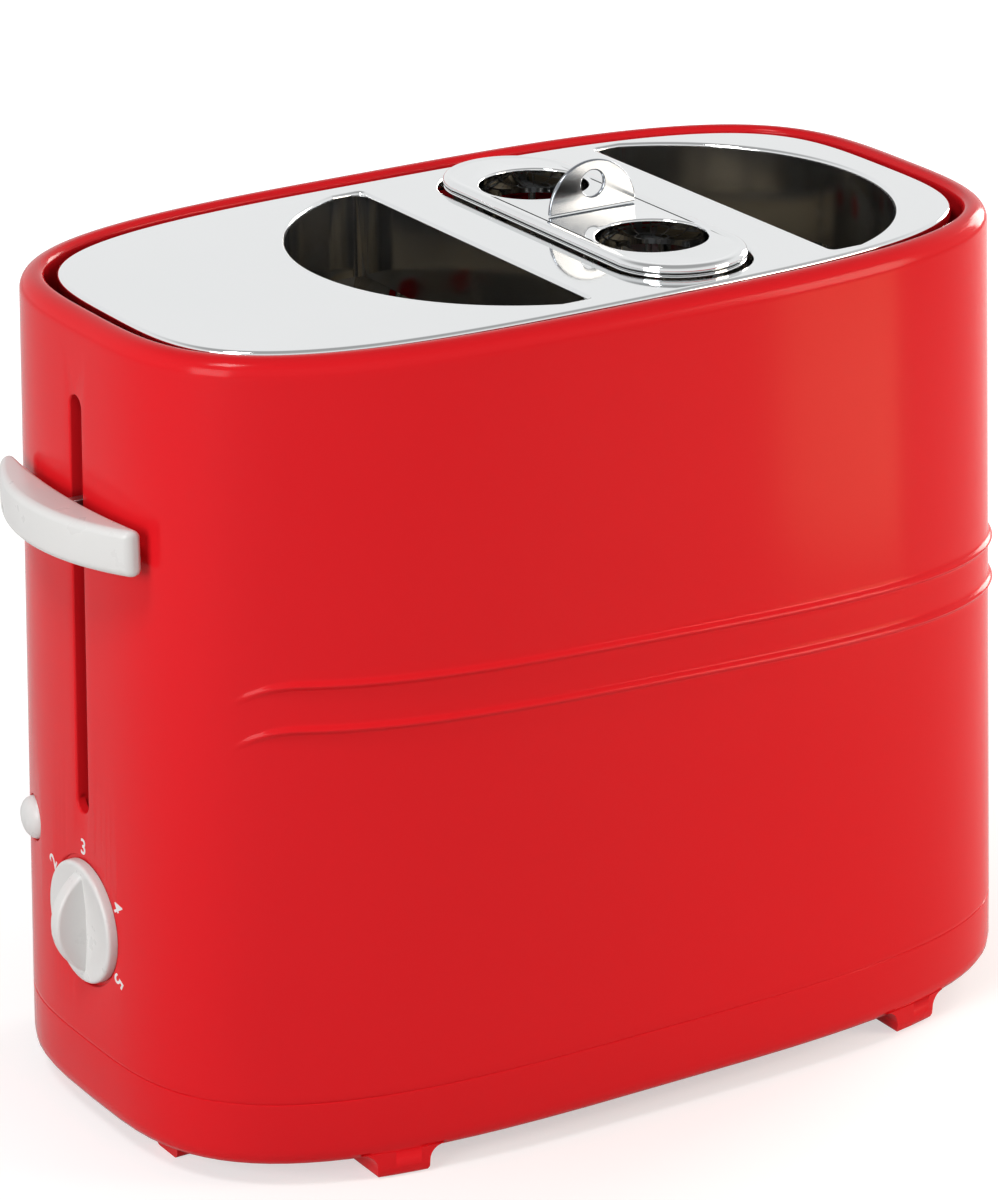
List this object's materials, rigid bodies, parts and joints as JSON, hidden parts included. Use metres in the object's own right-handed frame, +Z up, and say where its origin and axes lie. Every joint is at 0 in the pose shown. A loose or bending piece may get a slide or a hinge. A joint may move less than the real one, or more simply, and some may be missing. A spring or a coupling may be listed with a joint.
{
  "type": "hot dog toaster",
  "caption": "Upright pop-up toaster for hot dogs and buns, with a lift-out basket, a side lever, a browning dial, a cancel button and a crumb tray.",
  "frame": {"origin": "bottom centre of the object's box, on the table under the feet", "axes": "+X from the lever and dial end to the plain end, +Y from the front to the back where the cord inlet is, +Z up"},
  "size_m": [0.27, 0.1488, 0.2313],
  "materials": {
    "red_plastic": "moulded, high gloss red",
    "white_plastic": "moulded, glossy white",
    "black_plastic": "moulded, matt black",
    "pale_plastic": "moulded, matt off-white",
    "polished_steel": "mirror-polished stainless steel",
    "sheet_steel": "zinc-coated sheet steel",
    "steel_wire": "bright drawn steel wire",
    "mica_sheet": "pressed mica sheet",
    "heating_ribbon": "flat resistance ribbon",
    "copper_winding": "enamelled copper winding",
    "circuit_board": "green laminate"
  },
  "bodies": {
    "housing": {"outer_shell": "red_plastic", "base": "red_plastic", "cord_gland": "black_plastic", "top_plate": "polished_steel", "bun_collar_left": "polished_steel", "bun_collar_right": "polished_steel", "bun_guard_left": "steel_wire", "bun_guard_right": "steel_wire", "chassis_front": "sheet_steel", "chassis_back": "sheet_steel", "chassis_control_side": "sheet_steel", "chassis_far_side": "sheet_steel", "heater_channels": "sheet_steel", "heater_card_left": "mica_sheet", "heater_card_mid_left": "mica_sheet", "heater_card_mid_right": "mica_sheet", "heater_card_right": "mica_sheet", "heating_ribbon_left": "heating_ribbon", "heating_ribbon_mid_left": "heating_ribbon", "heating_ribbon_mid_right": "heating_ribbon", "heating_ribbon_right": "heating_ribbon", "rod_bracket": "sheet_steel", "guide_rod_front": "steel_wire", "guide_rod_back": "steel_wire", "return_spring": "steel_wire", "magnet_core": "sheet_steel", "magnet_coil": "copper_winding", "circuit_board": "circuit_board", "board_parts": "black_plastic", "potentiometer": "sheet_steel", "cancel_switch": "black_plastic", "terminal_block": "pale_plastic", "shell_screws": "steel_wire", "chassis_screws": "steel_wire"},
    "carriage": {"carriage_frame": "sheet_steel", "carriage_plate": "sheet_steel", "bun_rack_left": "sheet_steel", "bun_rack_right": "sheet_steel", "basket_shelf": "sheet_steel", "lever_arm": "sheet_steel", "lever_cap": "white_plastic", "rod_bushes": "black_plastic", "armature": "sheet_steel"},
    "basket": {"basket_rim": "polished_steel", "basket_handle": "polished_steel", "basket_cage": "steel_wire"},
    "knob": {"control_knob": "white_plastic", "knob_shaft": "steel_wire"},
    "button": {"cancel_button": "white_plastic", "switch_plunger": "black_plastic"},
    "tray": {"crumb_tray": "sheet_steel"}
  },
  "joints": [
    {"name": "carriage_lift", "type": "slide", "parent": "housing", "child": "carriage", "axis": [0, 0, 1], "range_m": [-0.074, 0.025], "stiffness_N_per_m": 100, "springref_m": 0.031, "deforming": ["return_spring"]},
    {"name": "basket_lift", "type": "slide", "parent": "carriage", "child": "basket", "axis": [0, 0, 1], "range_m": [0, 0.12]},
    {"name": "knob_turn", "type": "hinge", "parent": "housing", "child": "knob", "pos_m": [-0.12406, 0, 0.0565], "axis": [-1, 0, 0], "range_deg": [-120, 120]},
    {"name": "cancel_press", "type": "slide", "parent": "housing", "child": "button", "axis": [1, 0, 0], "range_m": [0, 0.0025], "stiffness_N_per_m": 300, "springref_m": -0.002},
    {"name": "tray_pull", "type": "slide", "parent": "housing", "child": "tray", "axis": [0, 1, 0], "range_m": [0, 0.11]}
  ]
}
